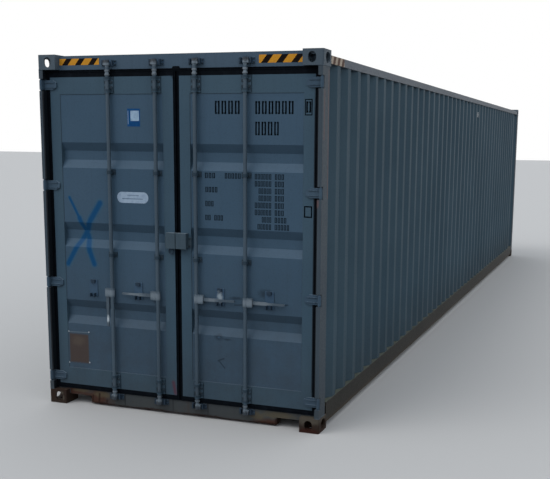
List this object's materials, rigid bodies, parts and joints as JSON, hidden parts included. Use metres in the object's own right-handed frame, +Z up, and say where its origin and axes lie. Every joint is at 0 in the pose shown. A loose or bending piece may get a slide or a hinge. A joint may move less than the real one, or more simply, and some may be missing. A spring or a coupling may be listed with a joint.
{
  "type": "shipping container",
  "caption": "High-cube dry freight container with corrugated steel walls, corner castings, a gooseneck tunnel, and double doors with turning locking bars and lift handles.",
  "frame": {"origin": "centre of the four bottom castings' undersides, on the ground", "axes": "+X along the container towards the door end, +Y to the right of a viewer who faces the doors, +Z up"},
  "size_m": [12.192, 2.438, 2.896],
  "materials": {
    "blue_paint": "weathered matt grey-blue paint with rust runs",
    "cast_steel": "paint worn and rusted",
    "door_gear_steel": "thin grey-blue paint over galvanised steel",
    "door_rubber": "matt black",
    "plywood": "worn and oiled",
    "vent_plastic": "pale grey, weathered"
  },
  "bodies": {
    "container": {"top_castings": "cast_steel", "bottom_castings": "cast_steel", "left_door_post": "blue_paint", "right_door_post": "blue_paint", "front_posts": "blue_paint", "door_header": "blue_paint", "door_sill": "blue_paint", "front_top_rail": "blue_paint", "front_sill": "blue_paint", "top_side_rails": "blue_paint", "bottom_side_rails": "blue_paint", "left_side_wall": "blue_paint", "right_side_wall": "blue_paint", "front_wall": "blue_paint", "roof_panel": "blue_paint", "roof_corner_plates": "blue_paint", "ventilators": "vent_plastic", "floor_boards": "plywood", "cross_members": "blue_paint", "tunnel_top": "blue_paint", "tunnel_sides": "blue_paint", "tunnel_outriggers": "blue_paint", "hinge_pins": "door_gear_steel", "cam_keepers": "door_gear_steel"},
    "left_door": {"left_door_frame": "blue_paint", "left_door_panel": "blue_paint", "left_door_gasket": "door_rubber", "left_door_hinges": "blue_paint", "left_bar_brackets": "blue_paint", "left_handle_catches": "door_gear_steel", "left_lock_half": "blue_paint"},
    "right_door": {"right_door_frame": "blue_paint", "right_door_panel": "blue_paint", "right_door_gasket": "door_rubber", "right_door_hinges": "blue_paint", "right_bar_brackets": "blue_paint", "right_handle_catches": "door_gear_steel", "right_lock_half": "blue_paint"},
    "left_outer_bar": {"left_outer_bar": "door_gear_steel"},
    "left_inner_bar": {"left_inner_bar": "door_gear_steel"},
    "right_inner_bar": {"right_inner_bar": "door_gear_steel"},
    "right_outer_bar": {"right_outer_bar": "door_gear_steel"},
    "left_outer_handle": {"left_outer_handle": "door_gear_steel"},
    "left_inner_handle": {"left_inner_handle": "door_gear_steel"},
    "right_inner_handle": {"right_inner_handle": "door_gear_steel"},
    "right_outer_handle": {"right_outer_handle": "door_gear_steel"}
  },
  "joints": [
    {"name": "right_door_hinge", "type": "hinge", "parent": "container", "child": "right_door", "pos_m": [6.082, 1.205, 1.448], "axis": [0, 0, 1], "range_deg": [0, 265]},
    {"name": "right_inner_bar_turn", "type": "hinge", "parent": "right_door", "child": "right_inner_bar", "pos_m": [6.073, 0.172, 1.448], "axis": [0, 0, 1], "range_deg": [-110, 0]},
    {"name": "right_inner_handle_lift", "type": "hinge", "parent": "right_inner_bar", "child": "right_inner_handle", "pos_m": [6.073, 0.217, 0.988], "axis": [1, 0, 0], "range_deg": [0, 40]},
    {"name": "right_outer_bar_turn", "type": "hinge", "parent": "right_door", "child": "right_outer_bar", "pos_m": [6.073, 0.593, 1.448], "axis": [0, 0, 1], "range_deg": [-110, 0]},
    {"name": "right_outer_handle_lift", "type": "hinge", "parent": "right_outer_bar", "child": "right_outer_handle", "pos_m": [6.073, 0.638, 0.988], "axis": [1, 0, 0], "range_deg": [0, 40]},
    {"name": "left_door_hinge", "type": "hinge", "parent": "container", "child": "left_door", "pos_m": [6.082, -1.205, 1.448], "axis": [0, 0, -1], "range_deg": [0, 265]},
    {"name": "left_inner_bar_turn", "type": "hinge", "parent": "left_door", "child": "left_inner_bar", "pos_m": [6.073, -0.172, 1.448], "axis": [0, 0, -1], "range_deg": [-110, 0]},
    {"name": "left_inner_handle_lift", "type": "hinge", "parent": "left_inner_bar", "child": "left_inner_handle", "pos_m": [6.073, -0.217, 0.988], "axis": [-1, 0, 0], "range_deg": [0, 40]},
    {"name": "left_outer_bar_turn", "type": "hinge", "parent": "left_door", "child": "left_outer_bar", "pos_m": [6.073, -0.593, 1.448], "axis": [0, 0, -1], "range_deg": [-110, 0]},
    {"name": "left_outer_handle_lift", "type": "hinge", "parent": "left_outer_bar", "child": "left_outer_handle", "pos_m": [6.073, -0.638, 0.988], "axis": [-1, 0, 0], "range_deg": [0, 60]}
  ]
}
